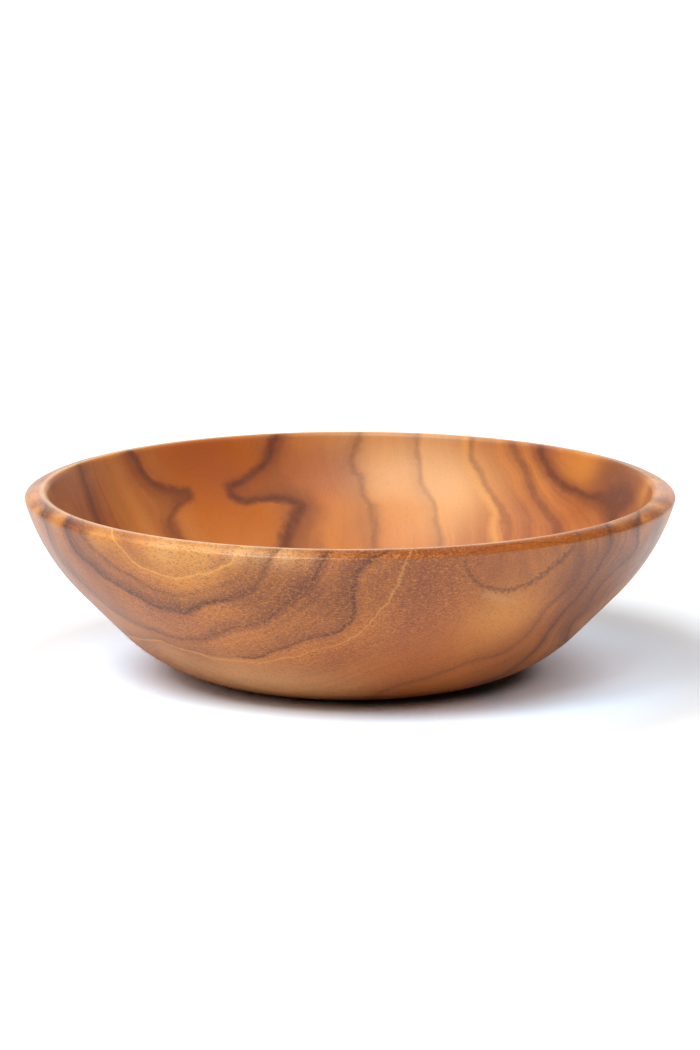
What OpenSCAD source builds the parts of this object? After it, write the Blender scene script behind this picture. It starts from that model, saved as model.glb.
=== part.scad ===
// Shallow wooden bowl, turned from one block, standing on its own foot.
// The foot rests on Z = 0, the axis of the bowl is Z, and +Z is up.

/* [Piece] */
// piece to build, or all

/* [Bowl] */
// width over the outside of the rim, where the bowl is widest
bowl_d = 200; // [175:5:240]
// height from the table to the crest of the rim
bowl_h = 57.5; // [48:0.5:75]

/* [Outer wall] */
// lean of the wall away from upright, just below the rim, in degrees
wall_lean = 16.8; // [8:0.2:24]
// lean of the straight stretch half way down the wall, in degrees
flank_lean = 44.4; // [36:0.2:54]
// length of that straight stretch
flank_w = 18.1; // [12:0.1:25]
// lean of the wall where it reaches the foot, in degrees
foot_lean = 85; // [76:0.5:88]

/* [Rim] */
// width of the rim seen from above
rim_w = 7.2; // [5:0.1:10]
// rounding where the outer wall turns onto the rim
edge_r = 0.8; // [0.4:0.1:1.2]
// slope of the rim at its outer edge, in degrees below level
rim_slope = 33; // [24:1:42]
// rounding from the crest of the rim into the hollow
lip_r = 1.6; // [0.8:0.1:2.4]

/* [Hollow] */
// thickness of the wall along its straight stretch
wall_t = 7.8; // [5.5:0.1:11]
// height of the floor above the table where the wall meets it
base_t = 10; // [7.5:0.5:16]
// depth of the shallow dish that the floor makes
dish_h = 1.2; // [0.6:0.1:3]

/* [Foot] */
// radius of the foot that stands on the table
foot_r = 38.9; // [32:0.1:46]
// width of the flat ring that touches the table
foot_ring_w = 6.5; // [4:0.5:10]
// depth of the shallow recess inside that ring
recess_h = 1.2; // [0.8:0.1:2.4]
// rounding in the corner of the recess
recess_r = 0.6; // [0.2:0.1:0.7]

/* [Hidden] */
$fn = 180;
wood_colour = [0.69, 0.44, 0.27];
// how far one shape runs into the next where they join
over = 0.2;
// how far the flatter of two curves lies behind the tighter one where they
// meet, so that the two cross cleanly
hair = 0.003;

// Every curve of the section is an arc. A place on an arc is given by its
// angle below level, seen from the arc's centre. On a wall whose centre lies
// towards the axis, that angle is also the lean of the wall from upright.
function on_arc(centre, r, angle) = centre + r * [cos(angle), -sin(angle)];
function centre_of(place, r, angle) = place - r * [cos(angle), -sin(angle)];

// how far in and down an arc of radius 1 takes the wall from one lean to another
function reach(first, last) = [cos(first) - cos(last), sin(last) - sin(first)];

// lean of the straight stretch that touches an upper and a lower arc
function shared_lean(upper, upper_r, lower, lower_r) =
    acos((lower_r - upper_r) / norm(upper - lower))
    - atan2(upper[1] - lower[1], upper[0] - lower[0]);

// the rim, from the outer wall over its edge and crest into the hollow
straight_up = -90;
straight_in = -180;
rim_r = bowl_d / 2;
slope_start = straight_up + rim_slope;
lip_end = straight_in + wall_lean;
slope_w = rim_w - edge_r - lip_r * cos(wall_lean);
slope_r = edge_r + slope_w / sin(rim_slope);
crest = [rim_r - edge_r - slope_w, bowl_h];
slope_c = centre_of(crest, slope_r, straight_up);
edge_high = on_arc(slope_c, slope_r, slope_start);
edge_c = centre_of(edge_high, edge_r, slope_start);
edge_low = on_arc(edge_c, edge_r, wall_lean);
lip_c = centre_of(crest, lip_r, straight_up);
lip_low = on_arc(lip_c, lip_r, lip_end);

// The outer wall, from the rim down to the foot. Its upper and lower curves
// have the two radii that bring it from the rim's edge to the edge of the foot.
belly_reach = reach(wall_lean, flank_lean);
turn_reach = reach(flank_lean, foot_lean);
flank_reach = flank_w * [sin(flank_lean), cos(flank_lean)];
curves_reach = [edge_low[0] - foot_r, edge_low[1]] - flank_reach;
belly_r = cross(curves_reach, turn_reach) / cross(belly_reach, turn_reach);
turn_r = cross(belly_reach, curves_reach) / cross(belly_reach, turn_reach);
belly_c = centre_of(edge_low, belly_r, wall_lean);
turn_c = centre_of([foot_r, 0], turn_r, foot_lean);

// The inner wall, from the rim down to the floor. Its straight stretch lies
// wall_t inside the outer one, and its lower curve stands base_t off the table.
flank_out = [cos(flank_lean), -sin(flank_lean)];
belly_low = on_arc(belly_c, belly_r, flank_lean);
inner_flank = belly_low * flank_out - wall_t;
inner_belly_r = (inner_flank - lip_low * flank_out) / (1 - cos(flank_lean - wall_lean));
inner_belly_c = centre_of(lip_low, inner_belly_r, wall_lean);
inner_turn_r = turn_r - base_t;
inner_turn_z = base_t + inner_turn_r;
inner_turn_x = (inner_flank - inner_turn_r + inner_turn_z * sin(flank_lean)) / cos(flank_lean);
inner_turn_c = [inner_turn_x, inner_turn_z];

// the floor, a dish whose curve touches the lower curve of the inner wall
dish_r = inner_turn_r + (inner_turn_x ^ 2 + dish_h ^ 2) / (dish_h + dish_h);
dish_c = [0, base_t - dish_h + dish_r];
dish_reach = inner_turn_x * dish_r / (dish_r - inner_turn_r);

// the recess in the foot
recess_reach = foot_r - foot_ring_w;
recess_c = [recess_reach - recess_r, recess_h - recess_r];

module disc(centre, r) {
    translate(centre) circle(r = r);
}

// an upper and a lower arc with the straight stretch between them
module wall_curve(upper, upper_r, lower, lower_r) {
    lean = shared_lean(upper, upper_r, lower, lower_r);
    upper_side = on_arc(upper, upper_r - hair, lean);
    lower_side = on_arc(lower, lower_r - hair, lean);
    disc(upper, upper_r);
    disc(lower, lower_r);
    polygon([lower, lower_side, upper_side, upper]);
}

// all that the outer wall encloses, below the rim
module inside_wall() {
    intersection() {
        square([rim_r, edge_low[1]]);
        union() {
            translate([0, -over]) square([turn_c[0], edge_low[1] + over]);
            wall_curve(belly_c, belly_r - hair, turn_c, turn_r);
        }
    }
}

module rim() {
    base = edge_low[1] - over;
    disc(edge_c, edge_r);
    disc(lip_c, lip_r);
    intersection() {
        disc(slope_c, slope_r - hair);
        translate([crest[0], base]) square([edge_high[0] - crest[0], slope_r]);
    }
    translate([crest[0] - rim_w, base]) square([rim_w + over, lip_low[1] - base]);
}

module hollow() {
    wall_curve(inner_belly_c, inner_belly_r + hair, inner_turn_c, inner_turn_r + hair);
    intersection() {
        disc(dish_c, dish_r);
        square([dish_reach, bowl_h]);
    }
}

module recess() {
    translate([0, -over]) square([recess_reach, recess_c[1] + over]);
    translate([0, -over]) square([recess_c[0], recess_h + over]);
    disc(recess_c, recess_r + hair);
}

module half_section() {
    difference() {
        union() {
            inside_wall();
            rim();
        }
        hollow();
        recess();
    }
}

module bowl() {
    color(wood_colour) rotate_extrude() half_section();
}

bowl();
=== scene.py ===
import math

import bpy
import numpy as np
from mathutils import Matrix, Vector


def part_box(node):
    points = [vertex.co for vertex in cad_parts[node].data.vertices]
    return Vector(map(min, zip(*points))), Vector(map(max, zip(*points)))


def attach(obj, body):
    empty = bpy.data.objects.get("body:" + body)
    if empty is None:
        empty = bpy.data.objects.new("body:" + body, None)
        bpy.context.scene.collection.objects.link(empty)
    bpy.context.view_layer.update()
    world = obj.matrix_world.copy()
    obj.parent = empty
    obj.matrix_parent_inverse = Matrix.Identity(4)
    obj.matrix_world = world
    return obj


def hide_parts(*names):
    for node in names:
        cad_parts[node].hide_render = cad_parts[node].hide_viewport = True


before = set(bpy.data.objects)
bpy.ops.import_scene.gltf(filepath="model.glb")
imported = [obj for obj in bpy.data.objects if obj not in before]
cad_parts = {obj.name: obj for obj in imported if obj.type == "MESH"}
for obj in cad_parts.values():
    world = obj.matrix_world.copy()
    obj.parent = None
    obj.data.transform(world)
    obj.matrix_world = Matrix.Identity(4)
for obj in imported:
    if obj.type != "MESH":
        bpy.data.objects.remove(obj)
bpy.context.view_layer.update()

# A wooden bowl turned from one block of figured teak, on a pale floor.
# The CAD node is replaced by the same section spun in fine steps, so that the
# figure of the wood can be laid on it as it runs through the block.
MM = 0.001
MICRON = MM / 1000

# the photograph's frame, and the lens that takes it in, in its pixels
PHOTO_W = 700
PHOTO_H = 1050
FOCAL_PIXELS = 5576
SENSOR = 36
# where the camera stands, the height that it aims at and how far it sees
CAMERA_PLACE = Vector((0, -1.6835, 0.3844))
AIM_HEIGHT = 0.0457
SIGHT_END = 50

# section of the bowl, in millimetres and degrees, as turned
WALL_LEAN = 16.8
FLANK_LEAN = 44.4
FLANK_W = 18.1
FOOT_LEAN = 85
RIM_W = 7.2
EDGE_R = 0.8
RIM_SLOPE = 33
LIP_R = 1.6
WALL_T = 7.8
BASE_T = 10
DISH_H = 1.2
FOOT_R = 38.9
FOOT_RING_W = 6.5
RECESS_H = 1.2
RECESS_R = 0.6
# the lean at the top of a curve and at the lowest place of one; a half turn
TOP_LEAN = -90
LOW_LEAN = 90
HALF_TURN = 180
# radius within which the rim turns down into the hollow, how far inside it the
# rim's marks may begin and over what stretch its tone fades in
HOLLOW_R = 94
RIM_INSET = 1
RIM_FADE = (-0.5, 1)
# a place in the hollow, and one on the rim, looks up by at least this share
HOLLOW_UPWARD = 0.05
RIM_UPWARD = 0.5

# spacing of the section's points, where two points count as one, and steps
# round the bowl
WALL_STEP = 1.25
FLOOR_STEP = 2.0
RIM_STEP = 0.35
SAME_PLACE = RIM_STEP / 10
ROUND_STEPS = 480
# edges sharper than this angle stay sharp
SMOOTH_ANGLE = 35

# how the wood is grown: its fibres run from the front of the bowl to its back,
# and growth changes less along them; how round the rings turn, and how far a
# ring may pass beside a traced place
FIBRE_SHARE = 0.35
RING_ROUNDING = 4
RING_EASE = 0.3
# how far a traced place sets the strength of the line near it, in millimetres;
# the strength where the photograph shows nothing, and how far off that begins
INK_REACH = 6
UNSEEN_INK = 0.7
UNSEEN_REACH = 28
# numbers that say how a field rises and leans as a whole, and how many places
# are worked out at a time
WHOLE_TERMS = 4
PLACES_AT_ONCE = 8000

# growth from the pith at each dark or pale line, in millimetres of wood
PITH = 3
FIRST_PALE = 11
RING_A = 22
RING_B = 34
RING_C = 52
SECOND_PALE = 55
THIRD_PALE = 64.5
RING_D = 67
RING_G = 74
RING_E = 82
RING_F = 93
RING_H = 104

# places along each line in the photograph, in its pixels, with the growth at
# the line and how strong it is there
RING_TRACES = [
    (THIRD_PALE, 0.9, [(465, 450), (472, 470), (480, 487), (490, 503), (497, 518)]),
    (PITH, 0.3, [(165, 541), (190, 547), (215, 549)]),
    (FIRST_PALE, 1, [
        (112, 533), (125, 552), (137, 565), (155, 573), (190, 577), (217, 569), (235, 556),
    ]),
    (RING_A, 1.0, [(66, 527), (71, 542), (80, 555), (92, 565), (105, 576), (116, 585)]),
    (RING_A, 1.3, [
        (127, 590), (140, 597), (150, 604), (162, 609), (175, 611), (190, 610), (200, 604),
        (212, 601), (227, 599),
    ]),
    (RING_A, 0.5, [(240, 595), (252, 590), (260, 582), (263, 572), (267, 562)]),
    (RING_B, 0.8, [
        (46, 522), (52, 545), (67, 567), (80, 580), (95, 595), (112, 609), (130, 620),
        (150, 630), (170, 637),
    ]),
    (RING_B, 0.7, [(190, 640), (205, 639), (220, 632), (235, 627), (252, 626), (270, 617)]),
    (RING_B, 0.85, [(285, 605), (300, 592), (310, 585), (317, 575), (322, 562)]),
    (RING_C, 0.7, [(255, 657), (270, 652), (290, 646), (302, 640), (317, 635)]),
    (RING_C, 1.0, [
        (337, 634), (347, 625), (355, 611), (354, 600), (354, 585), (355, 577), (362, 567),
        (372, 560),
    ]),
    (SECOND_PALE, 0.9, [
        (406, 561), (401, 577), (395, 592), (382, 610), (367, 625), (352, 637), (320, 650),
    ]),
    (SECOND_PALE, 1.5, [
        (295, 657), (270, 661), (240, 661), (215, 658), (195, 652), (172, 645), (158, 640),
    ]),
    (RING_G, 0.55, [
        (580, 566), (566, 590), (547, 607), (530, 632), (505, 651), (472, 660), (445, 671),
        (405, 683), (385, 690),
    ]),
    (RING_E, 0.8, [
        (609, 530), (611, 545), (602, 562), (592, 577), (580, 595), (565, 610), (552, 627),
        (542, 642),
    ]),
    (RING_F, 0.9, [
        (638, 527), (638, 537), (635, 552), (620, 565), (605, 580), (595, 592), (585, 610),
        (570, 625),
    ]),
    (RING_B, 1.0, [(80, 465), (82, 475), (86, 487), (91, 500), (95, 510)]),
    (RING_A, 0.8, [
        (130, 452), (137, 457), (139, 467), (145, 477), (157, 485), (170, 489), (185, 491),
        (193, 494),
    ]),
    (RING_A, 0.5, [(182, 501), (176, 510), (170, 522), (167, 531)]),
    (RING_A, 0.9, [
        (273, 440), (269, 450), (265, 462), (255, 472), (240, 482), (227, 491), (235, 497),
        (245, 501), (260, 499),
    ]),
    (RING_A, 0.9, [(288, 500), (299, 504), (306, 512), (307, 521), (305, 528), (315, 537)]),
    (RING_B, 0.55, [
        (360, 437), (355, 452), (352, 465), (359, 475), (362, 487), (365, 500), (380, 510),
        (391, 523), (388, 540),
    ]),
    (RING_C, 0.6, [
        (417, 450), (420, 462), (420, 475), (426, 492), (434, 507), (437, 520), (442, 532),
    ]),
    (RING_D, 0.7, [
        (472, 438), (470, 450), (475, 465), (482, 480), (492, 495), (500, 507), (510, 522),
        (518, 533),
    ]),
    (RING_E, 0.5, [
        (512, 442), (517, 455), (527, 472), (531, 485), (537, 500), (547, 512), (557, 521),
    ]),
    (RING_F, 0.9, [
        (540, 446), (545, 462), (555, 475), (565, 485), (577, 492), (592, 497), (605, 501),
        (617, 502), (627, 498),
    ]),
    (PITH + 8, 0.4, [(200, 450), (230, 455), (205, 470), (215, 520), (240, 525), (205, 535)]),
    (RING_A - 3, 0.4, [(208, 493)]),
]

# the feathered loop on the right of the front: a place in its middle
LOOP_PIXEL = (518, 568)
# how far from that place the loop is drawn, in millimetres, and how steeply it
# fades out there
LOOP_REACH = 24
LOOP_FADE = 2
# places along the loop, and how far from it, in millimetres, others lie inside
# it (above nought) and outside
LOOP_TRACES = [
    (0, [
        (466, 560), (470, 575), (478, 583), (490, 588), (505, 590), (520, 587), (535, 580),
        (548, 570), (560, 561), (570, 551),
    ]),
    (5, [(500, 568), (520, 565)]),
    (8, [(518, 550)]),
    (-6, [(447, 560), (456, 590), (490, 608), (520, 608), (550, 598), (575, 580), (592, 558)]),
]
# growth at places between the lines
BETWEEN = [
    (19, [(105, 566), (130, 580), (160, 598)]),
    (27, [(104, 590), (130, 605), (165, 622)]),
    (62, [(450, 562), (440, 640)]),
    (66, [(480, 602), (500, 565), (510, 620)]),
    (69, [(540, 560), (540, 597)]),
]
# places where no line shows, dark or pale
QUIET_PLACES = {
    "dark": [
        (175, 589), (205, 589), (236, 578), (180, 647), (160, 640), (200, 652), (225, 656),
        (150, 645), (140, 627), (105, 601), (492, 441), (503, 475), (523, 520), (470, 620),
        (510, 620), (430, 650), (350, 670),
    ],
    "pale": [
        (455, 560), (465, 595), (520, 610), (440, 650), (480, 640), (400, 680), (540, 560),
        (430, 460), (428, 500),
    ],
}

# the least tint everywhere, and the least grain on the rim
LEAST_TINT = {"grain": 0.35}
RIM_GRAIN = 0.45
# soft patches of tint: place in the photograph's pixels, radius in
# millimetres, strength; the pale and cream ones are partly painted highlight
TINT_PATCHES = {
    "grain": [
        ((180, 565), 26, 0.7), ((240, 560), 20, 0.6), ((300, 640), 22, 0.7),
        ((440, 580), 20, 0.6), ((330, 585), 24, 0.9), ((400, 600), 22, 0.7),
        ((260, 620), 20, 0.6), ((90, 540), 12, 0.4), ((170, 622), 14, 0.6),
        ((130, 598), 10, 0.5), ((205, 642), 12, 0.5),
    ],
    "gold": [
        ((30, 500), 7, 0.9), ((60, 519), 4, 1), ((97, 533), 6, 1), ((38, 511), 4, 0.8),
        ((110, 538), 4, 0.6), ((640, 518), 4, 0.4), ((150, 552), 12, 0.6), ((190, 583), 9, 0.5),
        ((500, 615), 14, 0.8), ((235, 520), 18, 0.5), ((590, 465), 10, 0.6),
        ((470, 640), 14, 0.3), ((528, 640), 9, 0.4), ((330, 530), 16, 0.4),
        ((508, 485), 9, 0.3), ((585, 455), 8, 0.5), ((635, 515), 8, 0.5), ((440, 460), 12, 0.3),
        ((420, 532), 10, 0.6), ((382, 512), 8, 0.4),
    ],
    # painted highlights in cream: the gloss on the hollow's far wall, on the back rim, on the
    # rim's bevel and at the rim's ends, and painted light from the floor along the bottom of the
    # wall; a few small ones lie along the loop
    "highlight_and_pale": [
        ((487, 594), 1.8, 0.6), ((495, 597), 1.8, 0.6), ((504, 599), 2, 0.45),
        ((514, 600), 2, 0.25), ((440, 462), 14, 0.45), ((395, 478), 11, 0.25),
        ((452, 498), 10, 0.25), ((652, 497), 4, 0.35), ((165, 650), 9, 0.45),
        ((200, 668), 13, 0.5), ((250, 682), 13, 0.8), ((300, 688), 13, 0.7),
        ((350, 691), 12, 0.45), ((125, 632), 8, 0.5), ((372, 440), 12, 0.4),
        ((330, 440), 10, 0.3), ((425, 443), 10, 0.3), ((42, 486), 5, 0.5), ((215, 546), 4, 0.5),
        ((250, 549), 4, 0.6), ((282, 551), 4, 0.5), ((165, 544), 5, 0.4),
        ((235, 553), 3.5, 0.9), ((260, 556), 3.5, 0.9), ((285, 558), 3.5, 0.8),
        ((310, 560), 3.5, 0.5),
    ],
    "amber": [
        ((170, 450), 12, 0.5), ((215, 452), 14, 0.8), ((215, 485), 12, 0.8),
        ((250, 478), 9, 0.5), ((225, 512), 15, 0.8), ((265, 525), 9, 0.5),
        ((395, 530), 14, 0.6), ((340, 535), 10, 0.4),
    ],
    # the wood's pale straw tone, and on the hollow's far wall a painted highlight
    "straw_and_highlight": [
        ((175, 556), 12, 0.35), ((196, 562), 9, 0.35), ((505, 625), 12, 0.3),
        ((32, 494), 6, 0.6), ((648, 483), 5, 0.4), ((395, 495), 16, 0.7), ((455, 490), 15, 0.9),
        ((380, 470), 10, 0.3), ((644, 492), 5, 0.5), ((160, 548), 6, 0.8), ((500, 612), 9, 0.3),
        ((200, 550), 6, 0.6), ((97, 533), 4, 0.5), ((57, 516), 2.5, 0.8), ((36, 510), 2.5, 0.6),
        ((612, 523), 4, 0.5), ((628, 519), 4, 0.4), ((655, 505), 5, 0.8), ((660, 492), 4, 0.4),
        ((300, 436), 5, 0.3), ((330, 435), 5, 0.3), ((360, 435), 5, 0.2),
    ],
    "russet": [
        ((430, 640), 20, 0.6), ((300, 680), 18, 0.1), ((245, 487), 8, 0.3),
        ((440, 590), 12, 0.3), ((570, 515), 10, 0.6), ((400, 680), 20, 0.4),
        ((320, 490), 12, 0.5), ((310, 458), 12, 0.5), ((500, 660), 12, 0.6),
        ((540, 630), 8, 0.4), ((585, 575), 12, 0.35), ((560, 615), 10, 0.35),
        ((205, 462), 18, 0.9), ((490, 548), 14, 0.5), ((450, 555), 12, 0.4),
    ],
    "smoke": [
        ((190, 662), 12, 0.25), ((150, 645), 8, 0.2), ((170, 622), 14, 0.3),
        ((395, 572), 14, 0.3), ((440, 568), 14, 0.3), ((478, 570), 12, 0.2),
        ((262, 592), 10, 0.35), ((262, 612), 8, 0.2), ((243, 488), 6, 0.35),
        ((520, 658), 8, 0.3), ((565, 638), 7, 0.2), ((600, 610), 6, 0.5), ((628, 572), 6, 0.4),
        ((175, 604), 5, 0.5), ((150, 600), 4, 0.4), ((655, 545), 8, 0.6), ((90, 500), 12, 0.2),
        ((120, 608), 8, 0.5), ((100, 590), 8, 0.3), ((305, 590), 5, 0.4), ((655, 528), 8, 0.6),
        ((340, 600), 8, 0.5), ((295, 585), 8, 0.4), ((625, 487), 11, 0.35),
        ((602, 480), 8, 0.3), ((575, 580), 9, 0.5), ((605, 590), 9, 0.5), ((105, 560), 9, 0.3),
        ((245, 592), 7, 0.4), ((600, 570), 12, 0.4), ((250, 612), 10, 0.2),
        ((300, 606), 10, 0.25), ((328, 604), 9, 0.25), ((640, 560), 9, 0.8),
        ((608, 590), 8, 0.5), ((590, 600), 9, 0.5), ((620, 570), 9, 0.6), ((570, 620), 10, 0.5),
        ((650, 545), 8, 0.7), ((590, 585), 12, 0.6), ((615, 550), 10, 0.5),
        ((550, 645), 8, 0.1), ((580, 560), 8, 0.3), ((45, 545), 9, 0.5), ((75, 585), 10, 0.5),
        ((110, 620), 10, 0.35), ((615, 474), 10, 0.4), ((658, 500), 5, 0.6),
        ((68, 525), 3.5, 0.8), ((84, 531), 3, 0.5), ((53, 508), 1.8, 0.9), ((48, 510), 1.8, 1),
        ((45, 514), 1.8, 1), ((44, 521), 2, 0.8), ((85, 558), 8, 0.5), ((73, 543), 6, 0.5),
        ((594, 594), 2.2, 0.9), ((634, 524), 2.5, 1), ((637, 521), 2.2, 1),
        ((612, 527), 2, 0.8), ((599, 586), 2.5, 0.8), ((585, 604), 3, 0.5),
        ((575, 617), 3, 0.5), ((288, 510), 4, 0.6), ((268, 452), 5, 0.5), ((65, 557), 9, 0.4),
        ((520, 575), 10, 0.25),
    ],
}

# the tones by name
TONES = {
    "gold": (0.77, 0.285, 0.042),
    "honey": (0.59, 0.188, 0.041),
    "brown": (0.42, 0.124, 0.038),
    "russet": (0.39, 0.089, 0.024),
    "umber": (0.19, 0.051, 0.019),
    "ink": (0.115, 0.032, 0.015),
    "pale": (0.82, 0.38, 0.09),
    "rim": (0.37, 0.088, 0.003),
    "cream": (0.92, 0.55, 0.25),
    "amber": (0.56, 0.145, 0.002),
}
# the growth at which the wood ends, and its tone at each growth
GROWTH_END = 120
TONE_STEPS = [
    (0, "gold"), (6, "honey"), (9, "brown"), (FIRST_PALE + 1, "gold"), (15, "honey"),
    (RING_A, "brown"), (RING_A + 4, "honey"), (RING_B, "brown"), (RING_B + 5, "honey"),
    (RING_C, "brown"), (RING_C + 2, "honey"), (SECOND_PALE + 3, "brown"), (RING_D, "honey"),
    (RING_G, "brown"), (RING_G + 3, "honey"), (RING_E, "brown"), (RING_E + 3, "honey"),
    (RING_F, "brown"), (RING_F + 4, "honey"), (GROWTH_END, "brown"),
]

# dark lines of the figure: growth; width of the core, and of the soft shading
# towards the pith and away from it, in millimetres, outside and in the hollow;
# strength outside and in the hollow
DARK_LINES = [
    (RING_A - 5, (1.6, 3, 2), (1.6, 3, 2), 0.35, 0),
    (RING_A, (1.7, 6, 2), (2.4, 2.2, 7), 1, 1),
    (RING_B, (0.9, 6, 3), (1.5, 6, 3), 1, 0.65),
    (RING_C, (1.0, 6, 1.5), (1.4, 5, 2), 1, 0.45),
    (RING_G, (1.3, 4, 3), (1.3, 4, 3), 0.5, 0),
    (RING_D, (0.7, 3, 2), (1.6, 4, 3), 0, 0.5),
    (RING_E, (1.1, 5, 2), (2.4, 6, 3.5), 1, 0.8),
    (RING_F, (1.3, 6, 2), (2.1, 4.5, 6), 1, 1),
    (RING_H, (0.8, 4, 2), (1.8, 5, 3), 1, 0.8),
]
# pale lines: growth, width outside and in the hollow, strength outside and in
# the hollow
PALE_LINES = [
    (FIRST_PALE, (0.6,), (0.6,), 0.9, 0),
    (SECOND_PALE, (0.45,), (0.9,), 0.5, 0.2),
    (THIRD_PALE, (1.2,), (2.2,), 0, 0.6),
]
# how far the lines stray in long waves and in short ones, in millimetres, and
# the least growth to a millimetre that their widths reckon with
WOBBLE = 3.2
RIPPLE = 1.3
LEAST_TIGHTNESS = 0.35
# strength of the shading beside dark lines, and how far their ink turns to
# umber in the hollow
SHADING = 0.75
INK_WARMTH = 0.6
# the feathered loop: its width, how far it is jagged and its strength
LOOP_WIDTH = 0.9
LOOP_JAG = 3
LOOP_SHARE = 0.68

# the painted highlight along the crest of the rim, in millimetres; where, to
# the right of the axis, it fades out, what is left of it there, its strength
CREST_R = 94.6
CREST_W = 1.3
CREST_END = (45, 80)
CREST_LEFT = 0.15
CREST_HIGHLIGHT_SHARE = 0.6
# where the rim deepens in tone, from left to right with the share at either
# end, and from back to front: the end grain's own deeper tone, with painted
# shade towards the right and front, where the rim catches less light
RIM_TONE_REACH = (-10, 35)
RIM_TONE_SHARES = (0.1, 1)
RIM_TONE_DEPTH = (10, -45)

# how each pattern is stretched, to the millimetre: less along the fibres
LINE_STRETCH = (1, 0.3, 1)
CLOUD_STRETCH = (1, 0.4, 1)
ALONG_STRETCH = (0.02, 0.01, 0.02)
LOOP_STRETCH = (0.8, 0.8, 0.8)
PORE_STRETCH = (0.9, 0.1, 0.9)
FLECK_STRETCH = (1.3, 0.3, 2.9)
# the middle of all noise; then the noise of each pattern by scale, detail,
# roughness and, for flecks, curl
NOISE_MIDDLE = 0.5
WOBBLE_NOISE = (0.13, 3, 0.5)
RIPPLE_NOISE = (0.6, 3, 0.6)
BAND_NOISE = (0.9, 5, 0.65)
STREAK_NOISE = (0.45, 4, 0.6)
CLOUD_NOISE = (0.045, 3, 0.5)
PATCHY_NOISE = (0.35, 3, 0.6)
LOOP_NOISE = (1, 2, 0.6)
FLECK_NOISE = (1, 2, 0.6, 1.2)
RUBBING_NOISE = (0.08, 3, 0.5)
# noise at which each pattern begins and is full, and for the last two what
# they run between
BAND_RISE = (0.38, 0.66)
STREAK_RISE = (0.5, 0.75)
CLOUD_RISE = (0.35, 0.7)
GOLD_FLECK_RISE = (0.5, 0.66)
DARK_FLECK_RISE = (0.48, 0.36)
PATCHY_RISE = (0.25, 0.6, 0.55, 1)
RUBBING_RISE = (0.3, 0.7, 0.3, 0.38)
# strength of each pattern, and where there are two, outside and in the hollow
BAND_SHARE = 0.4
SMOKE_BANDS = 0.6
STREAK_SHARES = (0.15, 0.35)
CLOUD_SHARE = 0.35
GRAIN_SHARES = (1, 0.2)
GOLD_FLECK_SHARE = 0.6
DARK_FLECK_SHARE = 0.65
PORE_SHARES = (0.35, 0.08)
# radius of a pore, and of its soft edge, as shares of their spacing; strength
# and depth, in millimetres, of the dents that the pores make
PORE_SIZE = 0.12
PORE_EDGE = 0.16
PORE_DENT = 0.25
PORE_DEPTH = 0.1
# families of patches in the order in which they are laid, with the tone and
# the most that it covers; those in pale and cream tones are partly painted highlight
TINTS = [
    ("gold", "gold", 0.8), ("straw_and_highlight", "pale", 0.8), ("highlight_and_pale", "cream", 0.6),
    ("amber", "amber", 1), ("russet", "russet", 0.7), ("smoke", "umber", 0.7),
]

# the oiled and rubbed finish: coat and shine, how much rougher the hollow is
# and how much of the coat is gone from the deep-toned rim
COAT = 0.34
SHINE = 0.42
COAT_ROUGHNESS = 0.24
HOLLOW_ROUGHNESS = 0.07
RIM_DULLNESS = 0.8

# the floor: its width in metres, its colour, and its colour in the gloss
FLOOR_SIZE = 12
FLOOR_COLOUR = (0.94, 0.94, 0.95, 1)
FLOOR_GLOSS = (0.78, 0.78, 0.79, 1)
# the place that the floor's tones spread from, its tone there, and for each
# change farther off where it begins and ends, in metres, and the next tone;
# only the camera sees these tones, which paint the bowl's shadow: a dark painted
# contact shadow close in, tones above one that lighten the cast shadow around
# it, and an even pale tone far off
FLOOR_MIDDLE = (0.008, 0, 0)
FLOOR_CONTACT_SHADOW = (0.25, 0.25, 0.26, 1)
FLOOR_SHADOW_TONES = [
    ((0.042, 0.054), (1.6, 2.08, 2.5, 1)),
    ((0.067, 0.112), (0.89, 0.925, 0.95, 1)),
    ((0.16, 0.45), (1.08, 1.1, 1.12, 1)),
]
# soft light from the front, the left and overhead, and a weak fill from the
# right: where each shines from, its strength and its spread in degrees
LAMPS = {
    "key_front": ((-0.42, -0.40, 0.82), 1.3, 36),
    "key_middle": ((-0.10, -0.57, 0.82), 0.7, 30),
    "key_left": ((-0.66, -0.22, 0.72), 0.4, 60),
    "key_top": ((-0.42, 0.0, 0.90), 0.25, 34),
    "key_back": ((-0.40, 0.46, 0.79), 0.35, 34),
    "fill_right": ((0.70, -0.15, 0.70), 0.25, 60),
}
# colour of the room, and its brightness, which fades in overhead between two
# heights, each given as the sine of its angle above level
ROOM_COLOUR = (1, 1, 1, 1)
ROOM_LIGHT = 0.9
LOW_LIGHT = 0
LOW_SINE = 0.45
ROOM_SINE = 0.9
# in the gloss the walls show white up to one height and fade to the ceiling
# at another; behind the bowl, within a half width, the white goes higher
WALL_SINE = 0.15
CEILING_SINE = 0.45
CEILING_GLOSS = 0.03
BACK_SINE = 0.32
BACK_HALF = 0.3

# Blender's own: the kinds of a group's sockets, the parts of a colour, and the
# sockets of its mix node that take colours and give one
NUMBER = "NodeSocketFloat"
PLACE = "NodeSocketVector"
COLOUR_PARTS = 4
MIX_COLOURS = (6, 7)
MIX_RESULT = 2


def make_camera():
    """The camera, which sees the bowl as the photograph does."""
    data = bpy.data.cameras.new("camera")
    data.sensor_width = SENSOR
    data.lens = FOCAL_PIXELS * SENSOR / PHOTO_H
    data.clip_end = SIGHT_END
    camera = bpy.data.objects.new("camera", data)
    bpy.context.scene.collection.objects.link(camera)
    camera.location = CAMERA_PLACE
    view = Vector((0, 0, AIM_HEIGHT)) - CAMERA_PLACE
    camera.rotation_euler = view.to_track_quat("-Z", "Y").to_euler()
    bpy.context.scene.camera = camera
    bpy.context.view_layer.update()
    return camera


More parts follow.
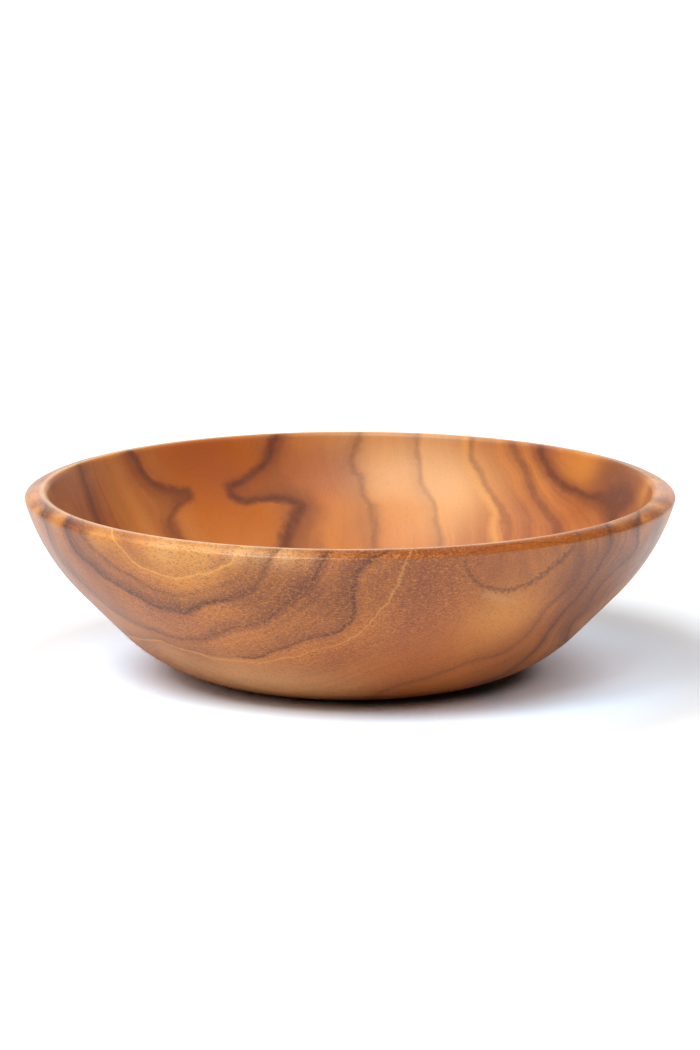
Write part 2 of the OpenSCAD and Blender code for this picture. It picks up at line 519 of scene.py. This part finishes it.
def lean_way(lean):
    """The way straight out of a wall that leans out by so many degrees."""
    return np.array((math.cos(math.radians(lean)), -math.sin(math.radians(lean))))


def centre_of(place, r, lean):
    """The centre of a curve that passes a place with the wall leaning so far there."""
    return place - r * lean_way(lean)


def arc(centre, r, first, last, step):
    """Places along a curve, from one lean of the wall to another."""
    count = max(2, math.ceil(abs(math.radians(last - first)) * r / step) + 1)
    return [centre + r * lean_way(lean) for lean in np.linspace(first, last, count)]


def line(first, last, step):
    """Places along a straight run."""
    count = max(2, math.ceil(np.linalg.norm(last - first) / step) + 1)
    return [first + (last - first) * share for share in np.linspace(0, 1, count)]


def cross(a, b):
    """How far two ways turn from each other, nought when they run side by side."""
    return a[0] * b[1] - a[1] * b[0]


def shared_lean(upper, upper_r, lower, lower_r):
    """The lean of the straight run that touches two curves, given by centre and radius."""
    gap = upper - lower
    turn = math.acos((lower_r - upper_r) / np.linalg.norm(gap))
    return math.degrees(turn - math.atan2(gap[1], gap[0]))


def reach(first, last):
    """How far a curve of radius one goes, from one lean of the wall to another."""
    return lean_way(first) - lean_way(last)


def bowl_section(rim_r, height):
    """Places in the half section, from under the middle round to the middle of the floor."""
    slope_w = RIM_W - EDGE_R - LIP_R * math.cos(math.radians(WALL_LEAN))
    slope_r = EDGE_R + slope_w / math.sin(math.radians(RIM_SLOPE))
    crest = np.array((rim_r - EDGE_R - slope_w, height))
    slope_c = centre_of(crest, slope_r, TOP_LEAN)
    slope_start = RIM_SLOPE + TOP_LEAN
    edge_c = slope_c + (slope_r - EDGE_R) * lean_way(slope_start)
    edge_low = edge_c + EDGE_R * lean_way(WALL_LEAN)
    lip_c = centre_of(crest, LIP_R, TOP_LEAN)
    lip_end = WALL_LEAN - HALF_TURN
    lip_low = lip_c + LIP_R * lean_way(lip_end)

    belly_reach = reach(WALL_LEAN, FLANK_LEAN)
    turn_reach = reach(FLANK_LEAN, FOOT_LEAN)
    flank_angle = math.radians(FLANK_LEAN)
    flank_way = np.array((math.sin(flank_angle), math.cos(flank_angle)))
    foot = np.array((FOOT_R, 0.0))
    curves = edge_low - foot - FLANK_W * flank_way
    belly_r = cross(curves, turn_reach) / cross(belly_reach, turn_reach)
    turn_r = cross(belly_reach, curves) / cross(belly_reach, turn_reach)
    belly_c = centre_of(edge_low, belly_r, WALL_LEAN)
    turn_c = centre_of(foot, turn_r, FOOT_LEAN)

    flank_out = lean_way(FLANK_LEAN)
    inner_flank = (belly_c + belly_r * flank_out) @ flank_out - WALL_T
    bend = 1 - math.cos(math.radians(FLANK_LEAN - WALL_LEAN))
    inner_belly_r = (inner_flank - lip_low @ flank_out) / bend
    inner_belly_c = centre_of(lip_low, inner_belly_r, WALL_LEAN)
    inner_turn_r = turn_r - BASE_T
    inner_turn_z = BASE_T + inner_turn_r
    inner_turn_x = (inner_flank - inner_turn_r - inner_turn_z * flank_out[1]) / flank_out[0]
    inner_turn_c = np.array((inner_turn_x, inner_turn_z))
    inner_lean = shared_lean(inner_belly_c, inner_belly_r, inner_turn_c, inner_turn_r)
    dish_r = inner_turn_r + (inner_turn_x ** 2 + DISH_H ** 2) / (2 * DISH_H)
    dish_c = np.array((0, BASE_T - DISH_H + dish_r))
    dish_lean = math.degrees(math.acos(inner_turn_x / (dish_r - inner_turn_r)))

    recess_reach = FOOT_R - FOOT_RING_W
    recess_c = np.array((recess_reach - RECESS_R, RECESS_H - RECESS_R))
    recess_mid = np.array((0, RECESS_H))
    recess_low = np.array((recess_reach, 0))
    recess_top = recess_c + np.array((0, RECESS_R))
    recess_side = recess_c + np.array((RECESS_R, 0))
    runs = [
        line(recess_mid, recess_top, FLOOR_STEP),
        arc(recess_c, RECESS_R, TOP_LEAN, 0, RIM_STEP),
        line(recess_side, recess_low, RIM_STEP),
        line(recess_low, foot, FLOOR_STEP),
        arc(turn_c, turn_r, FOOT_LEAN, FLANK_LEAN, WALL_STEP),
        line(turn_c + turn_r * flank_out, belly_c + belly_r * flank_out, WALL_STEP),
        arc(belly_c, belly_r, FLANK_LEAN, WALL_LEAN, WALL_STEP),
        arc(edge_c, EDGE_R, WALL_LEAN, slope_start, RIM_STEP),
        arc(slope_c, slope_r, slope_start, TOP_LEAN, RIM_STEP),
        arc(lip_c, LIP_R, TOP_LEAN, lip_end, RIM_STEP),
        arc(inner_belly_c, inner_belly_r, WALL_LEAN, inner_lean, WALL_STEP),
        arc(inner_turn_c, inner_turn_r, inner_lean, dish_lean, WALL_STEP),
        arc(dish_c, dish_r, dish_lean, LOW_LEAN, FLOOR_STEP),
    ]
    places = [runs[0][0]]
    for run in runs:
        for place in run:
            if np.linalg.norm(place - places[-1]) > SAME_PLACE:
                places.append(place)
    return places


def turn_bowl():
    """The bowl's section, drawn point by point and spun about its axis."""
    low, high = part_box("bowl")
    rim_r = min(high.x, high.y, -low.x, -low.y) / MM
    section = bowl_section(rim_r, high.z / MM)
    bpy.ops.object.select_all(action="DESELECT")
    bpy.ops.mesh.primitive_plane_add(size=WALL_STEP * MM)
    bowl = bpy.context.object
    bowl.name = "turned_bowl"
    bpy.ops.object.mode_set(mode="EDIT")
    bpy.ops.mesh.merge(type="CENTER")
    place = np.zeros(2)
    for number, target in enumerate(section):
        step = (target - place) * MM
        move = {"value": (step[0], 0, step[1])}
        if number == 0:
            bpy.ops.transform.translate(**move)
        else:
            bpy.ops.mesh.extrude_vertices_move(TRANSFORM_OT_translate=move)
        place = target
    bpy.ops.mesh.select_all(action="SELECT")
    bpy.ops.mesh.spin(steps=ROUND_STEPS, angle=math.tau, center=(0, 0, 0), axis=(0, 0, 1))
    bpy.ops.mesh.select_all(action="SELECT")
    bpy.ops.mesh.remove_doubles(threshold=MICRON)
    bpy.ops.mesh.normals_make_consistent(inside=False)
    bpy.ops.object.mode_set(mode="OBJECT")
    bpy.ops.object.shade_smooth_by_angle(angle=math.radians(SMOOTH_ANGLE))
    return bowl


def seen_place(bowl, pixel):
    """Where the sight through a pixel of the photograph meets the bowl, in millimetres."""
    across = (pixel[0] - PHOTO_W / 2) / FOCAL_PIXELS
    up = (PHOTO_H / 2 - pixel[1]) / FOCAL_PIXELS
    way = camera.matrix_world.to_3x3() @ Vector((across, up, -1))
    hit, place, *rest = bowl.ray_cast(camera.location, way)
    if not hit:
        raise ValueError(f"the pixel {pixel} lies off the bowl")
    return np.array(place) / MM


def read_traces(bowl, traces):
    """Places on the bowl at the pixels of each trace, and the trace's values at each."""
    places = [seen_place(bowl, pixel) for *values, pixels in traces for pixel in pixels]
    values = [values for *values, pixels in traces for pixel in pixels]
    return np.array(places), np.array(values, float)


def along_fibres(places):
    """The places with those along one fibre brought closer together."""
    return places * np.array((1, FIBRE_SHARE, 1))


def solve_growth(places, growths):
    """Weights of a smooth field that has the given growth at each given place."""
    count = len(places)
    size = count + WHOLE_TERMS
    apart = np.linalg.norm(places[:, None] - places[None], axis=2)
    system = np.zeros((size, size))
    system[:count, :count] = np.sqrt(apart ** 2 + RING_ROUNDING ** 2) - RING_EASE * np.eye(count)
    system[:count, count] = 1
    system[:count, count + 1:] = places
    system[count:, :count] = system[:count, count:].T
    return np.linalg.solve(system, np.concatenate((growths, np.zeros(WHOLE_TERMS))))


def read_growth(spots, places, weights):
    """The field at the spots, and the way in which it grows there."""
    count = len(places)
    apart = spots[:, None] - places[None]
    far = np.sqrt((apart ** 2).sum(2) + RING_ROUNDING ** 2)
    growth = far @ weights[:count] + weights[count] + spots @ weights[count + 1:]
    slope = np.einsum("sp,spa->sa", weights[:count] / far, apart) + weights[count + 1:]
    return growth, slope


def write_attribute(bowl, name, values):
    attribute = bowl.data.attributes.new(name=name, type="FLOAT", domain="POINT")
    attribute.data.foreach_set("value", np.asarray(values, np.float32))


def mesh_places(bowl):
    """Where the points of the bowl are, in millimetres, and the ways they face."""
    count = len(bowl.data.vertices)
    spots = np.zeros(count * 3, np.float32)
    normals = np.zeros(count * 3, np.float32)
    bowl.data.vertices.foreach_get("co", spots)
    bowl.data.vertices.foreach_get("normal", normals)
    return spots.reshape(-1, 3).astype(float) / MM, normals.reshape(-1, 3).astype(float)


def lay_loop(bowl, spots):
    """Writes on the bowl how far from the feathered loop each place near it lies."""
    places, gaps = read_traces(bowl, LOOP_TRACES)
    weights = solve_growth(places, gaps[:, 0])
    off = ((spots - seen_place(bowl, LOOP_PIXEL)) ** 2).sum(1) / LOOP_REACH ** 2
    near = off < 1
    loop = np.zeros(len(spots))
    loop[near] = read_growth(spots[near], places, weights)[0]
    write_attribute(bowl, "loop", loop)
    write_attribute(bowl, "loop_place", np.clip(LOOP_FADE * (1 - off), 0, 1))


def known_inks(bowl, places, growths, inks):
    """For dark and for pale lines, the places where their strength is known, and how strong."""
    pale = np.isin(growths, [ring for ring, *rest in PALE_LINES])
    known = {}
    for name, family in (("dark", ~pale), ("pale", pale)):
        quiet = np.array([seen_place(bowl, pixel) for pixel in QUIET_PLACES[name]])
        strengths = np.append(inks[family], np.zeros(len(quiet)))
        known[name] = (np.concatenate((places[family], quiet)), strengths)
    return known


def lay_growth(bowl, spots, normals):
    """Writes on the bowl how far each place is grown from the pith, and how strong lines are."""
    places, values = read_traces(bowl, RING_TRACES)
    growths, inks = values.T
    between, between_growths = read_traces(bowl, BETWEEN)
    fixed = along_fibres(np.concatenate((places, between)))
    weights = solve_growth(fixed, np.append(growths, between_growths))
    known = known_inks(bowl, places, growths, inks)
    count = len(spots)
    growth = np.zeros(count)
    tightness = np.zeros(count)
    ink = {name: np.zeros(count) for name in known}
    for first in range(0, count, PLACES_AT_ONCE):
        some = slice(first, first + PLACES_AT_ONCE)
        growth[some], slope = read_growth(along_fibres(spots[some]), fixed, weights)
        slope = along_fibres(slope)
        slope -= (slope * normals[some]).sum(1)[:, None] * normals[some]
        tightness[some] = np.linalg.norm(slope, axis=1)
        for name, (inked, strengths) in known.items():
            apart = ((spots[some][:, None] - inked[None]) ** 2).sum(2)
            near = 1 / (apart + INK_REACH ** 2) ** 2
            near = np.column_stack((near, np.full(len(near), UNSEEN_REACH ** -4)))
            ink[name][some] = near @ np.append(strengths, UNSEEN_INK) / near.sum(1)
    write_attribute(bowl, "growth", growth)
    write_attribute(bowl, "tightness", tightness)
    write_attribute(bowl, "dark_ink", ink["dark"])
    write_attribute(bowl, "pale_ink", ink["pale"])


def mark_parts(bowl, spots, normals):
    """Writes on the bowl where its hollow and rim are, and the band of painted highlight along
    the crest, and gives back the rim.
    """
    reach_out = np.hypot(spots[:, 0], spots[:, 1])
    above_foot = spots[:, 2] > 2 * RECESS_H
    inside = (normals[:, 2] > HOLLOW_UPWARD) & (reach_out < HOLLOW_R) & above_foot
    write_attribute(bowl, "inside", inside)
    on_rim = (normals[:, 2] > RIM_UPWARD) & (reach_out > HOLLOW_R - RIM_INSET)
    write_attribute(bowl, "rim", on_rim * np.interp(reach_out - HOLLOW_R, RIM_FADE, (0, 1)))
    # a band of painted highlight along the crest, fading out to the right
    crest = np.clip(1 - np.abs(reach_out - CREST_R) / CREST_W, 0, 1)
    crest *= np.interp(spots[:, 0], CREST_END, (1, CREST_LEFT))
    write_attribute(bowl, "crest", on_rim * crest)
    return on_rim


def lay_tints(bowl, spots, on_rim):
    """Writes on the bowl how strong each family of patches is."""
    for name, patches in TINT_PATCHES.items():
        tint = np.zeros(len(spots))
        for pixel, radius, strength in patches:
            apart = ((spots - seen_place(bowl, pixel)) ** 2).sum(1)
            tint += strength * np.exp(-apart / radius ** 2)
        if name == "grain":
            tint = np.maximum(tint, RIM_GRAIN * on_rim)
        write_attribute(bowl, name, np.clip(tint, LEAST_TINT.get(name, 0), 1))


def lay_figure(bowl):
    """Writes on the bowl how its wood is grown and tinted at each place."""
    spots, normals = mesh_places(bowl)
    lay_loop(bowl, spots)
    lay_growth(bowl, spots, normals)
    on_rim = mark_parts(bowl, spots, normals)
    lay_tints(bowl, spots, on_rim)


def put(tree, kind, **settings):
    node = tree.nodes.new(kind)
    for name, value in settings.items():
        setattr(node, name, value)
    return node


def feed(tree, socket, value):
    """Joins a socket to another one, or sets it to a plain value."""
    if isinstance(value, bpy.types.NodeSocket):
        tree.links.new(value, socket)
    else:
        socket.default_value = value


def maths(tree, operation, *values):
    node = put(tree, "ShaderNodeMath", operation=operation)
    for socket, value in zip(node.inputs, values):
        feed(tree, socket, value)
    return node.outputs[0]


def fade(tree, value, start, end, low=0, high=1):
    """A soft change from low to high as the value goes from start to end."""
    node = put(tree, "ShaderNodeMapRange", interpolation_type="SMOOTHSTEP")
    for socket, number in zip(node.inputs, (value, start, end, low, high)):
        feed(tree, socket, number)
    return node.outputs["Result"]


def blend(tree, share, first, second):
    """One number turning into another."""
    return fade(tree, share, 0, 1, first, second)


def blend_colour(tree, share, first, second):
    """One colour turning into another; a plain colour may leave out its alpha."""
    node = put(tree, "ShaderNodeMix", data_type="RGBA")
    feed(tree, node.inputs["Factor"], share)
    for socket, value in zip(MIX_COLOURS, (first, second)):
        if isinstance(value, tuple):
            value = (*value, 1)[:COLOUR_PARTS]
        feed(tree, node.inputs[socket], value)
    return node.outputs[MIX_RESULT]


def noise(tree, place, scale, detail, roughness, curl=0):
    node = put(tree, "ShaderNodeTexNoise")
    feed(tree, node.inputs["Vector"], place)
    node.inputs["Scale"].default_value = scale
    node.inputs["Detail"].default_value = detail
    node.inputs["Roughness"].default_value = roughness
    node.inputs["Distortion"].default_value = curl
    return node.outputs["Fac"]


def stretch(tree, place, scale):
    node = put(tree, "ShaderNodeMapping", vector_type="POINT")
    feed(tree, node.inputs["Vector"], place)
    node.inputs["Scale"].default_value = scale
    return node.outputs["Vector"]


def new_group(name, inputs, outputs):
    """A node group, with the sockets that lead into it and those that lead out."""
    group = bpy.data.node_groups.new(name, "ShaderNodeTree")
    for way, sockets in (("INPUT", inputs), ("OUTPUT", outputs)):
        for label, kind in sockets.items():
            group.interface.new_socket(name=label, in_out=way, socket_type=kind)
    return group, put(group, "NodeGroupInput").outputs, put(group, "NodeGroupOutput").inputs


def use_group(tree, group, **values):
    node = put(tree, "ShaderNodeGroup", node_tree=group)
    for name, value in values.items():
        feed(tree, node.inputs[name], value)
    return node.outputs


def ring_line_group():
    """One line of the figure: a core, and soft shading that reaches out on both sides."""
    group, given, result = new_group(
        "ring line",
        dict.fromkeys(("Growth", "Ring", "Tightness", "Core", "Inner", "Outer"), NUMBER),
        dict.fromkeys(("Line", "Shade"), NUMBER),
    )
    past = maths(group, "SUBTRACT", given["Growth"], given["Ring"])
    past = maths(group, "DIVIDE", past, given["Tightness"])
    off = maths(group, "ABSOLUTE", past)
    feed(group, result["Line"], fade(group, off, given["Core"], 0))
    inner = fade(group, maths(group, "MULTIPLY", past, -1), given["Inner"], 0)
    outer = fade(group, past, given["Outer"], 0)
    feed(group, result["Shade"], maths(group, "MULTIPLY", inner, outer))
    return group


def pore_group():
    """Open pores of the wood: dots on end grain, short streaks along the fibres elsewhere."""
    group, given, result = new_group("pores", {"Place": PLACE, "Width": NUMBER}, {"Pore": NUMBER})
    spots = put(group, "ShaderNodeTexVoronoi", feature="F1")
    feed(group, spots.inputs["Vector"], given["Place"])
    spots.inputs["Scale"].default_value = 1
    edge = maths(group, "ADD", given["Width"], PORE_EDGE)
    feed(group, result["Pore"], fade(group, spots.outputs["Distance"], edge, given["Width"]))
    return group


def ring_line(tree, group, drawing, growth, tightness, inside, ink):
    """Shares of one line's core and of its shading, by place."""
    ring, widths, hollow_widths, outside, hollow = drawing
    widths = [blend(tree, inside, *pair) for pair in zip(widths, hollow_widths)]
    labels = dict(zip(("Core", "Inner", "Outer"), widths))
    drawn = use_group(tree, group, Growth=growth, Ring=ring, Tightness=tightness, **labels)
    strength = maths(tree, "MULTIPLY", ink, blend(tree, inside, outside, hollow))
    return [maths(tree, "MULTIPLY", drawn[name], strength) for name in ("Line", "Shade")]


def attribute(tree, name):
    return put(tree, "ShaderNodeAttribute", attribute_name=name).outputs["Fac"]


def strayed_growth(tree, in_mm):
    """Growth with the small strays of real rings, and how tight the rings are."""
    along_lines = stretch(tree, in_mm, LINE_STRETCH)
    wobble = noise(tree, along_lines, *WOBBLE_NOISE)
    wobble = maths(tree, "MULTIPLY", maths(tree, "SUBTRACT", wobble, NOISE_MIDDLE), WOBBLE)
    ripple = maths(tree, "SUBTRACT", noise(tree, along_lines, *RIPPLE_NOISE), NOISE_MIDDLE)
    stray = maths(tree, "MULTIPLY_ADD", ripple, RIPPLE, wobble)
    tightness = maths(tree, "MAXIMUM", attribute(tree, "tightness"), LEAST_TIGHTNESS)
    growth = maths(tree, "MULTIPLY_ADD", stray, tightness, attribute(tree, "growth"))
    return growth, tightness


def growth_tone(tree, growth):
    """Tone of the wood by its growth."""
    tones = put(tree, "ShaderNodeValToRGB")
    feed(tree, tones.inputs["Fac"], maths(tree, "DIVIDE", growth, GROWTH_END))
    ramp = tones.color_ramp
    ramp.interpolation = "EASE"
    # a new ramp has two stops already
    for number, (step, tone) in enumerate(TONE_STEPS):
        at = step / GROWTH_END
        stop = ramp.elements[number] if number < 2 else ramp.elements.new(at)
        stop.position = at
        stop.color = (*TONES[tone], 1)
    return tones.outputs["Color"]


def lay_bands(tree, colour, growth, in_mm, inside):
    """Lays dark bands and pale streaks along the rings, and golden clouds."""
    along = put(tree, "ShaderNodeSeparateXYZ")
    feed(tree, along.inputs["Vector"], stretch(tree, in_mm, ALONG_STRETCH))
    bands = put(tree, "ShaderNodeCombineXYZ")
    feed(tree, bands.inputs["X"], growth)
    feed(tree, bands.inputs["Y"], along.outputs["Y"])
    feed(tree, bands.inputs["Z"], along.outputs["Z"])
    band = fade(tree, noise(tree, bands.outputs["Vector"], *BAND_NOISE), *BAND_RISE)
    banding = maths(tree, "MULTIPLY_ADD", attribute(tree, "smoke"), SMOKE_BANDS, BAND_SHARE)
    colour = blend_colour(tree, maths(tree, "MULTIPLY", band, banding), colour, TONES["umber"])
    streak = fade(tree, noise(tree, bands.outputs["Vector"], *STREAK_NOISE), *STREAK_RISE)
    streak = maths(tree, "MULTIPLY", streak, blend(tree, inside, *STREAK_SHARES))
    colour = blend_colour(tree, streak, colour, TONES["pale"])
    cloud = noise(tree, stretch(tree, in_mm, CLOUD_STRETCH), *CLOUD_NOISE)
    cloud = maths(tree, "MULTIPLY", fade(tree, cloud, *CLOUD_RISE), CLOUD_SHARE)
    return blend_colour(tree, cloud, colour, TONES["gold"])


def rim_depth_and_shade(tree, in_mm):
    """Share by which the rim deepens in tone, by place: the end grain's tone, with painted shade
    towards the right and front.
    """
    where = put(tree, "ShaderNodeSeparateXYZ")
    feed(tree, where.inputs["Vector"], in_mm)
    depth = fade(tree, where.outputs["X"], *RIM_TONE_REACH, *RIM_TONE_SHARES)
    depth = maths(tree, "MULTIPLY", fade(tree, where.outputs["Y"], *RIM_TONE_DEPTH), depth)
    return maths(tree, "MULTIPLY", attribute(tree, "rim"), depth)


def lay_dark_lines(tree, colour, group, growth, tightness, inside, in_mm):
    """Lays the dark lines of the figure with the shading beside them."""
    ink = attribute(tree, "dark_ink")
    warmth = maths(tree, "MULTIPLY", inside, INK_WARMTH)
    ink_tone = blend_colour(tree, warmth, TONES["ink"], TONES["umber"])
    patchy = fade(tree, noise(tree, in_mm, *PATCHY_NOISE), *PATCHY_RISE)
    for drawing in DARK_LINES:
        mark, shade = ring_line(tree, group, drawing, growth, tightness, inside, ink)
        shade = maths(tree, "MULTIPLY", shade, SHADING)
        colour = blend_colour(tree, shade, colour, TONES["umber"])
        colour = blend_colour(tree, maths(tree, "MULTIPLY", mark, patchy), colour, ink_tone)
    return colour


def lay_loop_line(tree, colour, in_mm):
    """Lays the feathered loop."""
    jag = noise(tree, stretch(tree, in_mm, LOOP_STRETCH), *LOOP_NOISE)
    loop = maths(tree, "MULTIPLY_ADD", jag, LOOP_JAG, attribute(tree, "loop"))
    loop = maths(tree, "ABSOLUTE", maths(tree, "SUBTRACT", loop, LOOP_JAG / 2))
    loop = fade(tree, loop, LOOP_WIDTH, 0)
    loop = maths(tree, "MULTIPLY", loop, attribute(tree, "loop_place"))
    loop = maths(tree, "MULTIPLY", loop, LOOP_SHARE)
    return blend_colour(tree, loop, colour, TONES["ink"])


def lay_flecks(tree, colour, in_mm, inside):
    """Lays the golden and the dark flecks of the end grain."""
    fleck = noise(tree, stretch(tree, in_mm, FLECK_STRETCH), *FLECK_NOISE)
    grain = maths(tree, "MULTIPLY", attribute(tree, "grain"), blend(tree, inside, *GRAIN_SHARES))
    gold_fleck = maths(tree, "MULTIPLY", fade(tree, fleck, *GOLD_FLECK_RISE), grain)
    gold_fleck = maths(tree, "MULTIPLY", gold_fleck, GOLD_FLECK_SHARE)
    colour = blend_colour(tree, gold_fleck, colour, TONES["gold"])
    dark_fleck = maths(tree, "MULTIPLY", fade(tree, fleck, *DARK_FLECK_RISE), grain)
    dark_fleck = maths(tree, "MULTIPLY", dark_fleck, DARK_FLECK_SHARE)
    return blend_colour(tree, dark_fleck, colour, TONES["umber"])


def teak_finish(tree, colour, in_mm, inside, rim_tone_and_shade, open_pores):
    """Oiled wood, rubbed unevenly, duller in the hollow, with its pores standing open."""
    shader = put(tree, "ShaderNodeBsdfPrincipled")
    feed(tree, shader.inputs["Base Color"], colour)
    rough = fade(tree, noise(tree, in_mm, *RUBBING_NOISE), *RUBBING_RISE)
    rough = maths(tree, "MULTIPLY_ADD", inside, HOLLOW_ROUGHNESS, rough)
    feed(tree, shader.inputs["Roughness"], rough)
    dull = maths(tree, "MAXIMUM", inside, maths(tree, "MULTIPLY", rim_tone_and_shade, RIM_DULLNESS))
    feed(tree, shader.inputs["Coat Weight"], blend(tree, dull, COAT, 0))
    shader.inputs["Specular IOR Level"].default_value = SHINE
    shader.inputs["Coat Roughness"].default_value = COAT_ROUGHNESS
    bump = put(tree, "ShaderNodeBump")
    bump.inputs["Strength"].default_value = PORE_DENT
    bump.inputs["Distance"].default_value = PORE_DEPTH * MM
    feed(tree, bump.inputs["Height"], maths(tree, "SUBTRACT", 1, open_pores))
    feed(tree, shader.inputs["Normal"], bump.outputs["Normal"])
    return shader


def teak_material():
    """Figured teak, laid on from the tone of the rings up to the open pores."""
    material = bpy.data.materials.new("figured teak")
    material.use_nodes = True
    tree = material.node_tree
    tree.nodes.clear()
    place = put(tree, "ShaderNodeTexCoord").outputs["Object"]
    in_mm = stretch(tree, place, (1 / MM, 1 / MM, 1 / MM))
    inside = attribute(tree, "inside")
    growth, tightness = strayed_growth(tree, in_mm)

    colour = growth_tone(tree, growth)
    colour = lay_bands(tree, colour, growth, in_mm, inside)
    # the rim's deeper end-grain tone, with painted shade towards the right and front
    rim_tone_and_shade = rim_depth_and_shade(tree, in_mm)
    colour = blend_colour(tree, rim_tone_and_shade, colour, TONES["rim"])
    for name, tone, most in TINTS:
        share = maths(tree, "MULTIPLY", attribute(tree, name), most)
        colour = blend_colour(tree, share, colour, TONES[tone])
    group = ring_line_group()
    colour = lay_dark_lines(tree, colour, group, growth, tightness, inside, in_mm)
    colour = lay_loop_line(tree, colour, in_mm)
    colour = lay_flecks(tree, colour, in_mm, inside)
    # painted highlight along the crest of the rim, in cream
    crest = maths(tree, "MULTIPLY", attribute(tree, "crest"), CREST_HIGHLIGHT_SHARE)
    colour = blend_colour(tree, crest, colour, TONES["cream"])
    ink = attribute(tree, "pale_ink")
    for drawing in PALE_LINES:
        mark, *rest = ring_line(tree, group, drawing, growth, tightness, inside, ink)
        colour = blend_colour(tree, mark, colour, TONES["pale"])
    pore_place = stretch(tree, in_mm, PORE_STRETCH)
    open_pores = use_group(tree, pore_group(), Place=pore_place, Width=PORE_SIZE)["Pore"]
    pore_share = maths(tree, "MULTIPLY", open_pores, blend(tree, inside, *PORE_SHARES))
    colour = blend_colour(tree, pore_share, colour, TONES["umber"])

    shader = teak_finish(tree, colour, in_mm, inside, rim_tone_and_shade, open_pores)
    output = put(tree, "ShaderNodeOutputMaterial")
    feed(tree, output.inputs["Surface"], shader.outputs["BSDF"])
    return material


def make_floor():
    """A pale floor that is seen from above only; for the camera its tone, set by distance from
    the bowl, paints the bowl's shadow, darkest where the bowl meets it.
    """
    bpy.ops.object.select_all(action="DESELECT")
    bpy.ops.mesh.primitive_plane_add(size=FLOOR_SIZE)
    floor = bpy.context.object
    floor.name = "floor"
    material = bpy.data.materials.new("pale floor")
    material.use_nodes = True
    tree = material.node_tree
    tree.nodes.clear()
    rays = put(tree, "ShaderNodeLightPath").outputs
    away = put(tree, "ShaderNodeVectorMath", operation="DISTANCE")
    feed(tree, away.inputs[0], put(tree, "ShaderNodeTexCoord").outputs["Object"])
    feed(tree, away.inputs[1], FLOOR_MIDDLE)
    # for the camera only, the floor's tone by distance paints the bowl's shadow: a dark contact
    # shadow close in, then lighter and darker tones around it
    seen = FLOOR_CONTACT_SHADOW
    for change, tone in FLOOR_SHADOW_TONES:
        seen = blend_colour(tree, fade(tree, away.outputs["Value"], *change), seen, tone)
    colour = blend_colour(tree, rays["Is Glossy Ray"], FLOOR_COLOUR, FLOOR_GLOSS)
    colour = blend_colour(tree, rays["Is Camera Ray"], colour, seen)
    shader = put(tree, "ShaderNodeBsdfDiffuse")
    feed(tree, shader.inputs["Color"], colour)
    from_below = put(tree, "ShaderNodeMixShader")
    feed(tree, from_below.inputs["Fac"], put(tree, "ShaderNodeNewGeometry").outputs["Backfacing"])
    feed(tree, from_below.inputs[1], shader.outputs["BSDF"])
    feed(tree, from_below.inputs[2], put(tree, "ShaderNodeBsdfTransparent").outputs["BSDF"])
    output = put(tree, "ShaderNodeOutputMaterial")
    feed(tree, output.inputs["Surface"], from_below.outputs["Shader"])
    floor.data.materials.append(material)
    return floor


def make_light():
    """The lamps, and the white room that the bowl's gloss mirrors."""
    for name, (place, strength, spread) in LAMPS.items():
        lamp = bpy.data.lights.new(name, "SUN")
        lamp.energy = strength
        lamp.angle = math.radians(spread)
        stand = bpy.data.objects.new(name, lamp)
        bpy.context.scene.collection.objects.link(stand)
        stand.rotation_euler = (-Vector(place)).to_track_quat("-Z", "Y").to_euler()

    world = bpy.data.worlds.new("studio")
    bpy.context.scene.world = world
    world.use_nodes = True
    tree = world.node_tree
    sky = tree.nodes["Background"]
    sky.inputs["Color"].default_value = ROOM_COLOUR
    rays = put(tree, "ShaderNodeLightPath").outputs
    way = put(tree, "ShaderNodeSeparateXYZ")
    feed(tree, way.inputs["Vector"], put(tree, "ShaderNodeTexCoord").outputs["Generated"])
    behind = fade(tree, maths(tree, "ABSOLUTE", way.outputs["X"]), BACK_HALF, BACK_HALF / 2)
    behind = maths(tree, "MULTIPLY", behind, fade(tree, way.outputs["Y"], 0, BACK_HALF))
    behind = maths(tree, "MULTIPLY", behind, BACK_SINE - WALL_SINE)
    height = maths(tree, "SUBTRACT", way.outputs["Z"], behind)
    gloss = fade(tree, height, WALL_SINE, CEILING_SINE, 1, CEILING_GLOSS)
    glossy = rays["Is Glossy Ray"]
    room = fade(tree, way.outputs["Z"], LOW_SINE, ROOM_SINE, LOW_LIGHT, ROOM_LIGHT)
    room = maths(tree, "MULTIPLY", maths(tree, "SUBTRACT", 1, glossy), room)
    room = maths(tree, "MULTIPLY_ADD", glossy, gloss, room)
    seen = maths(tree, "MAXIMUM", rays["Is Camera Ray"], rays["Is Transmission Ray"])
    feed(tree, sky.inputs["Strength"], maths(tree, "MAXIMUM", room, seen))


camera = make_camera()
make_floor()
make_light()
bowl = turn_bowl()
lay_figure(bowl)
bowl.data.materials.append(teak_material())
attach(bowl, "root")
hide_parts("bowl")
bpy.context.scene.view_settings.view_transform = "Standard"
